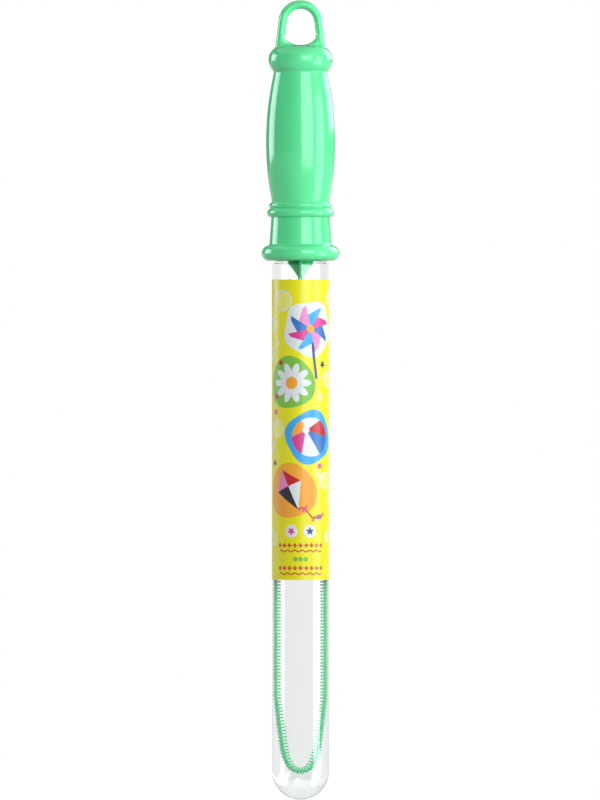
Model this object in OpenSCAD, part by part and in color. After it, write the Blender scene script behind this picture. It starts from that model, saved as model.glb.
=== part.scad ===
// Bubble wand: a clear tube with a screw-on handle that carries a long ribbed loop.
// Millimetres, +Z up, origin at the lowest point of the tube's round foot, on the axis.

/* [Tube] */
// Bore of the tube's neck, where the wand goes in and out
neck_bore_d = 22.2; // [20:0.1:28]
// Wall of the threaded neck
neck_wall = 0.8; // [0.7:0.05:1.4]
// Height of the neck above the shoulder
neck_h = 12.8; // [11.5:0.1:18]
// How far the barrel stands proud of the neck, all round
shoulder_step = 1.25; // [1:0.05:3]
// Wall of the barrel and the round foot
tube_wall = 0.7; // [0.5:0.05:1]
// Height of the shoulder above the lowest point of the foot
tube_h = 249; // [200:0.1:300]

/* [Thread] */
// Rise of the thread in one turn
thread_pitch = 4; // [3:0.1:4.5]
// Turns of thread on the neck
thread_turns = 1.5; // [1:0.05:1.6]
// Turns of thread inside the cap
cap_thread_turns = 1; // [0.6:0.05:1.2]
// How far each ridge stands out
thread_depth = 0.6; // [0.45:0.05:0.8]
// Slope of the ridge's flanks
thread_flank_angle = 40; // [25:1:45]
// Axial play between the flanks of the two threads
thread_flank_gap = 0.35; // [0.25:0.05:0.6]
// Radial play between each crest and the wall that it faces
thread_clearance = 0.15; // [0.12:0.01:0.3]
// Height of the neck thread's start above the shoulder
thread_start = 3.3; // [2:0.1:3.6]

/* [Label] */
// Height of the printed label
label_h = 138.8; // [60:0.1:160]
// Distance from the shoulder down to the label's upper edge
label_drop = 8.3; // [3:0.1:20]
// Thickness of the label film
label_thick = 0.12; // [0.06:0.01:0.4]
// Glue line between the label and the tube
label_gap = 0.02; // [0.01:0.01:0.1]

/* [Screw cap] */
// Wall of the skirt at its narrow upper end
cap_wall = 0.7; // [0.6:0.05:2]
// How much the skirt widens towards the flange, in radius
skirt_flare = 0.85; // [0:0.05:2]
// How far the flange stands out from the skirt
flange_reach = 3.8; // [2.5:0.1:6]
// Radius of the flange's rounded edge
flange_bead_r = 3.6; // [2.8:0.05:4]
// How far the collar stands out from the skirt
collar_reach = 2.13; // [1:0.01:4]
// Radius of the collar's rounded edge
collar_bead_r = 2.1; // [1.5:0.1:3]
// Gap between the flange and the tube's shoulder
cap_gap = 0.4; // [0.3:0.1:1.5]
// Thickness of the web that carries the wand
web_t = 2; // [1.2:0.1:3]
// Height of the hollow between the web and the seam with the grip
head_room = 8.2; // [7:0.1:16]
// Length of the spigot that plugs into the grip
spigot_h = 11; // [6:0.1:14]
// Wall of that spigot
spigot_wall = 1.6; // [1:0.1:3]

/* [Washer] */
// Thickness of the foam washer
washer_t = 1.5; // [1:0.1:3]
// Gap between the washer's hole and the wand's disc
washer_hole_gap = 0.4; // [0.3:0.05:1]

/* [Grip] */
// Length of the grip between its two seams
grip_h = 63.3; // [50:0.1:90]
// Diameter of the grip's belly
grip_d = 31.9; // [29:0.1:40]
// Height of the belly above the grip's lower end
grip_belly_h = 30.9; // [24:0.1:40]
// Radius of the long curve along the grip
grip_curve_r = 143.5; // [130:0.5:300]
// Wall of the hollow belly
grip_wall = 1.8; // [1.2:0.1:2.2]
// Wall round the lower socket at its mouth
grip_mouth_wall = 1.1; // [0.8:0.1:2]
// Diameter of the ring at the grip's lower end
grip_ring_d = 29.1; // [28:0.1:32]
// Radius of that ring's rounded edge
grip_ring_bead_r = 1.45; // [1.2:0.05:2]

/* [Hanging eye] */
// Diameter of the round bead under the eye
bead_d = 29.7; // [26:0.1:34]
// Radius of the bead's rounded upper edge
bead_r = 5.9; // [4:0.1:6.5]
// Radius of the bead's fuller lower edge, which runs down to the grip
bead_foot_r = 7.7; // [7:0.1:10]
// How far the bead's middle rises above its rim
bead_crown = 0.7; // [0.4:0.1:2]
// Height from the bead's seam to the top of the eye
eye_h = 33.2; // [30:0.1:45]
// Thickness of the eye's round bar at its top bend
eye_bar_d = 4.1; // [3.6:0.1:5]
// Thickness of the eye's legs
eye_leg_d = 3.9; // [3:0.1:4]
// Radius of the eye's top bend, to the middle of the bar
eye_bend_r = 8.3; // [6.5:0.05:9]
// Angle at which the eye's legs spread
eye_splay = 7; // [2:0.5:10]
// Radius of the scooped lower end of the eye's hole
eye_scoop_r = 9.6; // [7:0.1:12]
// Thickness of the scooped web between the legs
eye_web_t = 3.4; // [2:0.1:4]
// Diameter of the plug that goes into the grip
eye_plug_d = 16.9; // [12:0.1:20]
// Length of that plug
eye_plug_h = 10; // [6:0.1:12]
// Wall of that plug
eye_plug_wall = 1.6; // [1:0.1:3]

/* [Wand] */
// Gap between the loop's ribs and the neck's bore as it passes
loop_clearance = 1; // [0.5:0.05:2]
// Height of the loop's lower end above the floor of the tube
loop_floor_gap = 11.5; // [8:0.1:30]
// Width of the loop's bar
loop_bar_w = 1.3; // [0.8:0.05:2]
// Thickness of the loop's bar, front to back
loop_bar_t = 1.6; // [1:0.1:3]
// Radius of the loop's lower end, to the middle of the bar
loop_foot_r = 4.4; // [4:0.05:5]
// Slant of the loop's sides where that lower end stops
loop_heel_angle = 26; // [16:1:30]
// Radius of the curve from there up to the slanted sides
loop_heel_r = 25; // [10:0.5:30]
// Slant of the loop's lower sides
loop_taper = 6.5; // [5:0.5:14]
// Spacing of the ribs along the bar
rib_pitch = 1.5; // [1.4:0.05:3]
// Width of a rib
rib_w = 0.7; // [0.4:0.05:0.75]
// Thickness of a rib, front to back
rib_t = 2.4; // [1.8:0.1:4]
// How far a rib stands into the loop
rib_in = 1.35; // [0.5:0.05:1.5]
// How far a rib stands out of the loop
rib_out = 0.3; // [0.2:0.05:0.8]
// Thickness of the round stem
stem_d = 2.6; // [2:0.1:4]
// Length of the stem between the vanes and the loop
stem_len = 26.5; // [10:0.5:60]
// Width across the four vanes
vane_w = 12.5; // [10:0.1:14]
// Thickness of a vane
vane_t = 1.6; // [1:0.1:2.4]
// Length of the vanes' straight part below the disc
vane_straight_h = 13.2; // [8:0.1:18]
// Length of the vanes' slanted part
vane_taper_h = 7; // [4:0.1:14]
// Thickness of the disc under the cap's web
disc_t = 1.1; // [0.8:0.1:1.2]
// How far the disc stands out past the vanes
disc_rim = 0.5; // [0.2:0.1:1]
// Diameter of the boss through the cap's web
boss_d = 8; // [6:0.1:9]
// How far the snap head catches over the web
head_catch = 0.65; // [0.4:0.05:1]
// Height of the snap head
head_h = 2.6; // [1.8:0.1:4]
// Width of the slot that lets the snap head spring
head_slot_w = 1.2; // [0.8:0.1:2]

/* [Fits] */
// Gap round a spigot or plug in its socket
seat_clearance = 0.05; // [0.02:0.01:0.15]
// Gap round the wand's boss in the cap's web
swivel_clearance = 0.05; // [0.02:0.01:0.1]
// Gap between flat faces that rest on each other
seat_gap = 0.02; // [0.01:0.01:0.1]

/* [Hidden] */

// Smoothness of the round shapes
round_fn = 96;
long_curve_fn = 360;
thread_steps_per_turn = 36;
thread_fade_steps = 5;
arc_step = 6;
// Depth by which a cut runs past a face, and a joined shape runs into its neighbour
past = 1;
bond = 0.3;
// Depth by which a rounded edge is cut flat where it meets a seam
edge_flat = 0.1;

// Radii of the tube
neck_bore_r = neck_bore_d / 2;
neck_r = neck_bore_r + neck_wall;
tube_r = neck_r + shoulder_step;
tube_bore_r = tube_r - tube_wall;

// Radii of the thread and the cap
thread_crest_r = neck_r + thread_depth;
cap_bore_r = thread_crest_r + thread_clearance;
cap_crest_r = neck_r + thread_clearance;
skirt_top_r = cap_bore_r + cap_wall;
skirt_foot_r = skirt_top_r + skirt_flare;
flange_r = skirt_foot_r + flange_reach;
collar_r = skirt_top_r + collar_reach;

// Heights, from the foot of the tube upwards
rim_z = tube_h + neck_h;
cap_z = tube_h + cap_gap;
washer_z = rim_z + seat_gap;
web_z = washer_z + washer_t + seat_gap;
web_top_z = web_z + web_t;
seam_z = web_top_z + head_room;
grip_top_z = seam_z + grip_h;
eye_top_z = grip_top_z + eye_h;
flange_z = cap_z + flange_bead_r - edge_flat;
collar_z = seam_z - collar_bead_r + edge_flat;
label_z = tube_h - label_drop - label_h;

// Thread section
thread_mid_w = thread_pitch / 2 - thread_flank_gap;
flank_run = thread_depth * tan(thread_flank_angle);
thread_base_w = thread_mid_w + flank_run;
thread_crest_w = thread_mid_w - flank_run;
neck_thread_z = tube_h + thread_start;
cap_thread_z = neck_thread_z + thread_pitch / 2;

// Grip
grip_r = grip_d / 2;
grip_belly_z = seam_z + grip_belly_h;
grip_mouth_r = grip_r - grip_curve_r + sqrt(grip_curve_r * grip_curve_r - grip_belly_h * grip_belly_h);
socket_r = grip_mouth_r - grip_mouth_wall;
socket_h = spigot_h + past;
spigot_r = socket_r - seat_clearance;
spigot_core_r = spigot_r - spigot_wall;
eye_plug_r = eye_plug_d / 2;
eye_socket_r = eye_plug_r + seat_clearance;
eye_socket_h = eye_plug_h + past / 2;

// Hanging eye
eye_bar_r = eye_bar_d / 2;
eye_bend_z = eye_top_z - eye_bar_r - eye_bend_r;
bead_z = grip_top_z + bead_r - edge_flat;
bead_core_r = bead_d / 2 - bead_r;
bead_top_z = bead_z + bead_r;
crown_r = (bead_core_r * bead_core_r + bead_crown * bead_crown) / (2 * bead_crown);
eye_leg_x = eye_bend_r * cos(eye_splay);
eye_leg_z = eye_bend_z + eye_bend_r * sin(eye_splay);
eye_leg_len = (eye_leg_z - bead_z) / cos(eye_splay);
eye_scoop_z = bead_top_z + bead_crown + eye_scoop_r;

// Wand
boss_r = boss_d / 2;
web_hole_r = boss_r + swivel_clearance;
disc_top_z = web_z - seat_gap;
disc_z = disc_top_z - disc_t;
disc_r = vane_w / 2 + disc_rim;
head_z = web_top_z + seat_gap;
head_top_z = head_z + head_h;
vane_slant_z = disc_z - vane_straight_h;
vane_foot_z = vane_slant_z - vane_taper_h;
loop_top_z = vane_foot_z - stem_len;
loop_foot_z = tube_wall + loop_floor_gap + rib_out + loop_bar_w / 2 + loop_foot_r;
loop_half_w = neck_bore_r - loop_clearance - rib_out - loop_bar_w / 2;
loop_arch_z = loop_top_z - loop_half_w;

// One side of the loop, along the middle of the bar, from its foot up to its arch
heel_x = (loop_foot_r - loop_heel_r) * cos(loop_heel_angle);
heel_z = loop_foot_z + (loop_heel_r - loop_foot_r) * sin(loop_heel_angle);
slant_x = heel_x + loop_heel_r * cos(loop_taper);
slant_z = heel_z - loop_heel_r * sin(loop_taper);
slant_len = (loop_half_w - slant_x) / sin(loop_taper);
slant_top_z = slant_z + slant_len * cos(loop_taper);
foot_len = loop_foot_r * (90 - loop_heel_angle) * PI / 180;
heel_len = loop_heel_r * (loop_heel_angle - loop_taper) * PI / 180;
side_len = loop_arch_z - slant_top_z;
arch_len = loop_half_w * PI / 2;
rib_path_len = foot_len + heel_len + slant_len + side_len + arch_len - stem_d;

// Point of the loop at a distance along one side: x, z and the angle of its outward normal
function foot_point(s) =
    let (a = -90 + s / loop_foot_r * 180 / PI)
    [loop_foot_r * cos(a), loop_foot_z + loop_foot_r * sin(a), a];
function heel_point(s) =
    let (a = s / loop_heel_r * 180 / PI - loop_heel_angle)
    [heel_x + loop_heel_r * cos(a), heel_z + loop_heel_r * sin(a), a];
function slant_point(s) = [slant_x + s * sin(loop_taper), slant_z + s * cos(loop_taper), -loop_taper];
function side_point(s) = [loop_half_w, slant_top_z + s, 0];
function arch_point(s) =
    let (a = s / loop_half_w * 180 / PI)
    [loop_half_w * cos(a), loop_arch_z + loop_half_w * sin(a), a];
function loop_point(s) =
    s < foot_len ? foot_point(s)
    : s < foot_len + heel_len ? heel_point(s - foot_len)
    : s < foot_len + heel_len + slant_len ? slant_point(s - foot_len - heel_len)
    : s < foot_len + heel_len + slant_len + side_len ? side_point(s - foot_len - heel_len - slant_len)
    : arch_point(s - foot_len - heel_len - slant_len - side_len);

// Outline of the loop, set off from the middle of the bar by a distance
foot_stations = [for (a = [0 : arc_step : 89 - loop_heel_angle]) foot_point(a * PI / 180 * loop_foot_r)];
heel_stations = [for (i = [0 : 5]) heel_point(heel_len * i / 6)];
arch_stations = [for (a = [0 : arc_step : 90]) arch_point(a * PI / 180 * loop_half_w)];
bend_station = [loop_half_w, slant_top_z, -loop_taper / 2];
stations = concat(foot_stations, heel_stations, [slant_point(0), bend_station], arch_stations);
function set_off(p, d) = [p[0] + d * cos(p[2]), p[1] + d * sin(p[2])];
function loop_outline(d) =
    let (right = [for (p = stations) set_off(p, d)], last = len(right) - 1)
    concat(right, [for (i = [last - 1 : -1 : 1]) [-right[i][0], right[i][1]]]);

// Ridge of a thread: a four-sided section carried up a right-handed helix, fading in and out
function ridge_fade(i, steps) = min(1, i / thread_fade_steps, (steps - i) / thread_fade_steps);
function ridge_ring(i, steps, root_r, wall_r, crest_r, z) =
    let (turn = i * 360 / thread_steps_per_turn,
         rise = z + i * thread_pitch / thread_steps_per_turn,
         tip_r = wall_r + (crest_r - wall_r) * ridge_fade(i, steps),
         corners = [[root_r, -thread_base_w / 2], [root_r, thread_base_w / 2],
                    [tip_r, thread_crest_w / 2], [tip_r, -thread_crest_w / 2]])
    [for (c = corners) [c[0] * cos(turn), c[0] * sin(turn), rise + c[1]]];

module thread_ridge(turns, root_r, wall_r, crest_r, z) {
    steps = round(turns * thread_steps_per_turn);
    rings = [for (i = [0 : steps]) ridge_ring(i, steps, root_r, wall_r, crest_r, z)];
    points = [for (ring = rings, p = ring) p];
    last = 4 * steps;
    sides = [for (i = [0 : steps - 1], k = [0 : 3], half = [0, 1])
        let (a = 4 * i + k, b = 4 * i + (k + 1) % 4)
        half == 0 ? [a, a + 4, b] : [b, a + 4, b + 4]];
    ends = [[0, 1, 2], [0, 2, 3], [last, last + 2, last + 1], [last, last + 3, last + 2]];
    outward = crest_r > root_r;
    faces = concat(sides, ends);
    polyhedron(points, outward ? faces : [for (f = faces) [f[0], f[2], f[1]]]);
}

// Quarter of a disc in the corner between +X and +Y
module quarter_disc(r) {
    intersection() {
        circle(r, $fn = round_fn);
        square(r + past);
    }
}

// Half section of a round-footed bottle
module bottle_section(barrel_r, mouth_r, floor_z, shoulder_z, top_z) {
    edge_r = barrel_r - mouth_r;
    round_z = floor_z + barrel_r;
    edge_z = shoulder_z - edge_r;
    translate([0, round_z])
        mirror([0, 1])
            quarter_disc(barrel_r);
    translate([0, round_z])
        square([barrel_r, edge_z - round_z]);
    translate([0, edge_z])
        square([mouth_r, top_z - edge_z]);
    translate([mouth_r, edge_z])
        quarter_disc(edge_r);
}

module tube() color("#DCE9EA", 0.4) {
    rotate_extrude($fn = round_fn)
        difference() {
            bottle_section(tube_r, neck_r, 0, tube_h, rim_z);
            bottle_section(tube_bore_r, neck_bore_r, tube_wall, tube_h - tube_wall, rim_z + past);
        }
    thread_ridge(thread_turns, neck_r - bond, neck_r, thread_crest_r, neck_thread_z);
}

module label() color("#EFE61E") {
    translate([0, 0, label_z])
        difference() {
            cylinder(h = label_h, r = tube_r + label_gap + label_thick, $fn = round_fn);
            translate([0, 0, -past])
                cylinder(h = label_h + 2 * past, r = tube_r + label_gap, $fn = round_fn);
        }
}

module seal_washer() color("#F2F2EC") {
    translate([0, 0, washer_z])
        difference() {
            cylinder(h = washer_t, r = neck_r, $fn = round_fn);
            translate([0, 0, -past])
                cylinder(h = washer_t + 2 * past, r = disc_r + washer_hole_gap, $fn = round_fn);
        }
}

// Snap head, boss and disc that hang the wand in the cap's web
module wand_head() {
    difference() {
        rotate_extrude($fn = round_fn)
            polygon([[0, disc_z], [disc_r, disc_z], [disc_r, disc_top_z], [boss_r, disc_top_z],
                     [boss_r, head_z], [boss_r + head_catch, head_z], [boss_r - head_catch, head_top_z],
                     [0, head_top_z]]);
        translate([-head_slot_w / 2, -disc_r, disc_top_z])
            cube([head_slot_w, 2 * disc_r, head_top_z - disc_top_z + past]);
    }
}

// Upright plate that narrows to the stem
module vane_plate() {
    rotate([90, 0, 0])
        linear_extrude(vane_t, center = true)
            polygon([[-vane_w / 2, disc_z + bond], [-vane_w / 2, vane_slant_z],
                     [-stem_d / 2, vane_foot_z], [stem_d / 2, vane_foot_z],
                     [vane_w / 2, vane_slant_z], [vane_w / 2, disc_z + bond]]);
}

module loop_bar() {
    rotate([90, 0, 0])
        linear_extrude(loop_bar_t, center = true)
            difference() {
                polygon(loop_outline(loop_bar_w / 2));
                polygon(loop_outline(-loop_bar_w / 2));
            }
}

module loop_ribs() {
    rotate([90, 0, 0])
        linear_extrude(rib_t, center = true)
            for (side = [0, 1], s = [rib_pitch / 2 : rib_pitch : rib_path_len]) {
                p = loop_point(s);
                mirror([side, 0])
                    translate([p[0], p[1]])
                        rotate(p[2])
                            translate([-loop_bar_w / 2 - rib_in, -rib_w / 2])
                                square([rib_in + loop_bar_w + rib_out, rib_w]);
            }
}

module wand() color("#4FC584") {
    wand_head();
    for (turn = [0, 90])
        rotate(turn)
            vane_plate();
    translate([0, 0, loop_top_z])
        cylinder(h = vane_slant_z - loop_top_z, d = stem_d, $fn = round_fn);
    loop_bar();
    loop_ribs();
}

// Half section of the cap's outside
module cap_outline() {
    polygon([[0, cap_z], [skirt_foot_r, cap_z], [skirt_foot_r, flange_z], [skirt_top_r, collar_z],
             [skirt_top_r, seam_z], [0, seam_z]]);
    intersection() {
        translate([flange_r - flange_bead_r, flange_z])
            circle(flange_bead_r, $fn = round_fn);
        translate([0, cap_z])
            square([flange_r + past, 2 * flange_bead_r]);
    }
    intersection() {
        translate([collar_r - collar_bead_r, collar_z])
            circle(collar_bead_r, $fn = round_fn);
        translate([0, seam_z - 2 * collar_bead_r])
            square([collar_r + past, 2 * collar_bead_r]);
    }
    translate([0, seam_z - past])
        square([spigot_r, spigot_h + past]);
}

module screw_cap() color("#58D08C") {
    rotate_extrude($fn = round_fn)
        difference() {
            cap_outline();
            translate([0, cap_z - past])
                square([cap_bore_r, web_z - cap_z + past]);
            translate([0, web_z - past])
                square([web_hole_r, web_t + 2 * past]);
            translate([0, web_top_z])
                square([spigot_core_r, head_room + spigot_h + past]);
        }
    thread_ridge(cap_thread_turns, cap_bore_r + bond, cap_bore_r, cap_crest_r, cap_thread_z);
}

// Half disc of the grip's long curve, set in from the outside by a wall
module grip_curve(wall) {
    translate([grip_r - grip_curve_r, grip_belly_z])
        circle(grip_curve_r - wall, $fn = long_curve_fn);
}

module grip() color("#5BDB90") {
    rotate_extrude($fn = round_fn)
        difference() {
            union() {
                intersection() {
                    grip_curve(0);
                    translate([0, seam_z])
                        square([grip_r + past, grip_h]);
                }
                intersection() {
                    translate([grip_ring_d / 2 - grip_ring_bead_r, seam_z + grip_ring_bead_r - edge_flat])
                        circle(grip_ring_bead_r, $fn = round_fn);
                    translate([0, seam_z])
                        square([grip_r + past, 2 * grip_ring_bead_r]);
                }
            }
            intersection() {
                grip_curve(grip_wall);
                translate([0, seam_z + socket_h])
                    square([grip_r, grip_h - socket_h - eye_socket_h]);
            }
            translate([0, seam_z - past])
                square([socket_r, socket_h + 2 * past]);
            translate([0, grip_top_z - eye_socket_h - past])
                square([eye_socket_r, eye_socket_h + 2 * past]);
        }
}

// Half section of the plug and the round bead
module bead_section() {
    difference() {
        union() {
            intersection() {
                translate([bead_core_r, bead_z])
                    circle(bead_r, $fn = round_fn);
                translate([0, bead_z])
                    square([bead_d, bead_r]);
            }
            intersection() {
                translate([bead_d / 2 - bead_foot_r, bead_z])
                    circle(bead_foot_r, $fn = round_fn);
                translate([0, grip_top_z])
                    square([bead_d, bead_z - grip_top_z]);
            }
            translate([0, grip_top_z])
                square([bead_core_r, bead_top_z - grip_top_z]);
            intersection() {
                translate([0, bead_top_z + bead_crown - crown_r])
                    circle(crown_r, $fn = long_curve_fn);
                translate([0, bead_z])
                    square([bead_core_r, 2 * bead_r]);
            }
            translate([0, grip_top_z - eye_plug_h])
                square([eye_plug_r, eye_plug_h + bead_r]);
        }
        translate([0, grip_top_z - eye_plug_h - past])
            square([eye_plug_r - eye_plug_wall, eye_plug_h + past + bead_r]);
    }
}

// Bent bar of the eye, with its two spread legs
module eye_bar() {
    translate([0, 0, eye_bend_z])
        rotate([90, 0, 0])
            rotate([0, 0, eye_splay])
                rotate_extrude(angle = 180 - 2 * eye_splay, $fn = round_fn)
                    translate([eye_bend_r, 0])
                        circle(eye_bar_r, $fn = round_fn);
    for (side = [-1, 1])
        translate([side * eye_leg_x, 0, eye_leg_z])
            rotate([0, 180 - side * eye_splay, 0])
                translate([0, 0, -bond])
                    cylinder(h = eye_leg_len + bond, d = eye_leg_d, $fn = round_fn);
}

// Web between the legs, scooped out to the round lower end of the eye's hole
module eye_web() {
    web_half_w = eye_leg_x + eye_leg_len * sin(eye_splay) / 2;
    difference() {
        translate([-web_half_w, -eye_web_t / 2, bead_z])
            cube([2 * web_half_w, eye_web_t, eye_scoop_z - bead_z - eye_scoop_r / 2]);
        translate([0, 0, eye_scoop_z])
            rotate([90, 0, 0])
                cylinder(h = eye_web_t + 2 * past, r = eye_scoop_r, center = true, $fn = round_fn);
    }
}

module hanging_eye() color("#5BDB90") {
    rotate_extrude($fn = round_fn)
        bead_section();
    eye_bar();
    eye_web();
}

tube();
label();
seal_washer();
wand();
screw_cap();
grip();
hanging_eye();
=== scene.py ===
# %% [markdown]
# # A bubble wand, dressed for a product photograph
# The toy is a clear tube of bubble solution with a printed label, closed by a green screw-on handle. The
# handle carries a long ribbed loop that hangs in the liquid. The solids were made in a CAD program and
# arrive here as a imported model, so the heights and radii below are read from it or repeat its sizes. A few
# small forms are added here alone: the oval of the eye's bar, and soft fillets and lips at the joints.

from math import acos, asin, atan2, ceil, cos, degrees, hypot, pi, radians, sin, sqrt, tan

import bmesh
import bpy
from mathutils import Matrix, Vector


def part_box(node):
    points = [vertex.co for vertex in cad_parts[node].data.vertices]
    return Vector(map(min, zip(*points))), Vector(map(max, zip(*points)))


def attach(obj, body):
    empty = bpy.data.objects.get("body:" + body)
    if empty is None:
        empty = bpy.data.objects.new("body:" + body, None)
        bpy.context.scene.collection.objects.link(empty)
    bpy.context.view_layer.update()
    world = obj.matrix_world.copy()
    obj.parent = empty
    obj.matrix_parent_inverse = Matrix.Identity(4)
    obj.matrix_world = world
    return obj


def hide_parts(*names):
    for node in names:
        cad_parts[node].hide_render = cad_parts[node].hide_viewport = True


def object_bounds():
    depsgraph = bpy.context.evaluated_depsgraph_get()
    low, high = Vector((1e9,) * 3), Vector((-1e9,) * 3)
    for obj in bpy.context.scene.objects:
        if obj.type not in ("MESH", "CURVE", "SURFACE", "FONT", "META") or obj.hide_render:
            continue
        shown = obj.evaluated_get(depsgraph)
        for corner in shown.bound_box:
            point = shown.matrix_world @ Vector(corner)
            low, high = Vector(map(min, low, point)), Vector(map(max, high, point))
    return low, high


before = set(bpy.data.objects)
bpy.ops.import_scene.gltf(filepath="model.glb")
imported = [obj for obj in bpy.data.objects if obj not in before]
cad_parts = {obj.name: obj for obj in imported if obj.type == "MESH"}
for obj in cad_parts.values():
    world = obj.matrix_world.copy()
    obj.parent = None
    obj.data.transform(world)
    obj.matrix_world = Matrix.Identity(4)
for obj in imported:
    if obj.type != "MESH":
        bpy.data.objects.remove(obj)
cad_low, cad_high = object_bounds()
print("CAD box, mm:", [round(v * 1000, 2) for v in (*cad_low, *cad_high)])

# %% [markdown]
# ## Sizes
# The toy's lengths are in millimetres, as on a drawing, and turn into Blender's metres only when a mesh is
# made. The studio round it is laid out in metres. The outer sizes come from the boxes of the CAD solids, so
# they can't drift apart from them. Walls, beads and seats that lie inside a solid are repeated by name,
# here or beside their piece.

# %% Sizes of the tube and label
MM = 0.001


def box_mm(solid):
    """Lowest and highest corner of a CAD solid, in millimetres."""
    low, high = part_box(solid)
    return low / MM, high / MM


tube_high = box_mm("tube")[1]
label_low, label_high = box_mm("label")
tube_r = tube_high.x
rim_z = tube_high.z
label_r = label_high.x
tube_wall = 0.7
neck_wall = 0.8
neck_h = 12.8
shoulder_step = 1.25
shoulder_z = rim_z - neck_h
neck_r = tube_r - shoulder_step
neck_bore_r = neck_r - neck_wall
tube_bore_r = tube_r - tube_wall
print("tube radius", round(tube_r, 2), "rim at", round(rim_z, 2), "label from", round(label_low.z, 1))

# %% Sizes of the handle
cap_low, cap_high = box_mm("screw_cap")
grip_low, grip_high = box_mm("grip")
eye_high = box_mm("hanging_eye")[1]
washer_high = box_mm("seal_washer")[1]
cap_z = cap_low.z
seam_z = grip_low.z
grip_top_z = grip_high.z
eye_top_z = eye_high.z
thread_depth = 0.6
thread_gap = 0.15
skirt_wall = 0.7
cap_bore_r = neck_r + thread_depth + thread_gap
skirt_top_r = cap_bore_r + skirt_wall
flange_r = cap_high.x
flange_ledge = 3.35
flange_bead_r = 3.6
skirt_foot_r = flange_r - flange_ledge
collar_ledge = 2.13
collar_r = skirt_top_r + collar_ledge
collar_bead_r = 2.1
edge_flat = 0.1
print("cap from", round(cap_z, 2), "seam at", round(seam_z, 2), "eye top at", round(eye_top_z, 2))

# %% [markdown]
# ## Camera
# The photograph looks straight at the wand from far away: upright lines stay parallel and the round foot
# shows no underside. A long lens on a far camera gives that. The picture is 800 pixels high and the wand
# fills it from edge to edge, so the distance follows from the lens and the wand's own height.

# %% Camera
IMAGE_HEIGHT = 800
wand_pixels = 799.7
pixel_mm = (cad_high.z - cad_low.z) / MM / wand_pixels
lens_mm = 500
sensor_mm = 36
aim_x = -0.25
aim_z = 185
camera_distance = IMAGE_HEIGHT * pixel_mm * MM * lens_mm / sensor_mm


def put(name, data):
    """Puts a camera, a lamp or a mesh into the scene as an object."""
    made = bpy.data.objects.new(name, data)
    bpy.context.scene.collection.objects.link(made)
    return made


camera_data = bpy.data.cameras.new("photo_camera")
camera_data.lens = lens_mm
camera_data.sensor_width = sensor_mm
camera_data.clip_end = 50
camera = put("photo_camera", camera_data)
camera.location = (aim_x * MM, -camera_distance, aim_z * MM)
camera.rotation_euler = (radians(90), 0, 0)
bpy.context.scene.camera = camera
bpy.context.scene.view_settings.view_transform = "Standard"
print("one pixel is", round(pixel_mm, 4), "mm, camera at", round(camera_distance, 3), "m")

# %% [markdown]
# ## Helpers for materials
# Colours are picked as sRGB hex values, the way a swatch book gives them, and the shader wants linear
# light. One function adds a node with its settings, its socket values and its links, so each finish reads
# as a list.

# %% Material helpers


def linear(hex_colour):
    """Turns an sRGB hex colour such as #5AD88F into a linear RGBA tuple."""
    parts = [int(hex_colour[i:i + 2], 16) / 255 for i in (1, 3, 5)]
    return tuple(p / 12.92 if p <= 0.04045 else ((p + 0.055) / 1.055) ** 2.4 for p in parts) + (1.0,)


def add_node(owner, kind, sockets=None, links=None, **settings):
    """Adds a node with settings, socket values and links. A linked node gives its first output."""
    made = owner.node_tree.nodes.new(kind)
    for name, value in settings.items():
        setattr(made, name, value)
    for name, value in (sockets or {}).items():
        made.inputs[name].default_value = value
    for name, source in (links or {}).items():
        if isinstance(source, bpy.types.Node):
            source = next(output for output in source.outputs if output.enabled)
        owner.node_tree.links.new(source, made.inputs[name])
    return made


def emptied(owner):
    """A material or world with an empty node tree."""
    owner.use_nodes = True
    owner.node_tree.nodes.clear()
    return owner


def new_material(name):
    """An empty node material, and the place on the object that its patterns follow."""
    material = emptied(bpy.data.materials.new(name))
    return material, add_node(material, "ShaderNodeTexCoord").outputs["Object"]


def per_mm(size):
    """Texture scale at which one cell is this many millimetres wide."""
    return 1 / (size * MM)


print("mint in linear light:", [round(v, 3) for v in linear("#5AD88F")])

# %% [markdown]
# ## Helpers for meshes
# Most of this toy came out of round moulds, so most pieces are turned: an outline is spun about the axis,
# as on a lathe. Blender's Screw modifier does the same, but writing the rings out lets a thread swell the
# wall.

# %% Mesh helpers


def spread(first, last, steps):
    """Evenly spaced values from one to another, with both ends."""
    return [first + (last - first) * i / steps for i in range(steps + 1)]


def around(count):
    """Angles of evenly spaced points round a circle."""
    return [2 * pi * k / count for k in range(count)]


def arc(centre_r, centre_z, radius, start, end, steps):
    """Points on an arc of an outline, from one angle to another in degrees."""
    turns = [radians(a) for a in spread(start, end, steps)]
    return [(centre_r + radius * cos(a), centre_z + radius * sin(a)) for a in turns]


def line(start, end, steps):
    """Points on a straight run of an outline, without its first point."""
    return list(zip(spread(start[0], end[0], steps), spread(start[1], end[1], steps)))[1:]


def lathe(outline, turns=192, closed=False, swell=None):
    """Spins an outline of (radius, height) points about Z. It runs upwards on the outside."""
    points = []
    rings = []
    for r, z in outline:
        first = len(points)
        if r < 1e-6:
            points.append((0, 0, z))
            rings.append([first] * turns)
            continue
        for a in around(turns):
            reach = r + (swell(r, z, a) if swell else 0)
            points.append((reach * cos(a), reach * sin(a), z))
        rings.append(list(range(first, first + turns)))
    pairs = list(zip(rings, rings[1:]))
    if closed:
        pairs.append((rings[-1], rings[0]))
    faces = []
    for low, high in pairs:
        for k in range(turns):
            n = (k + 1) % turns
            corners = [low[k], low[n], high[n], high[k]]
            faces.append(tuple(dict.fromkeys(corners)))
    return points, faces


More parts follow.
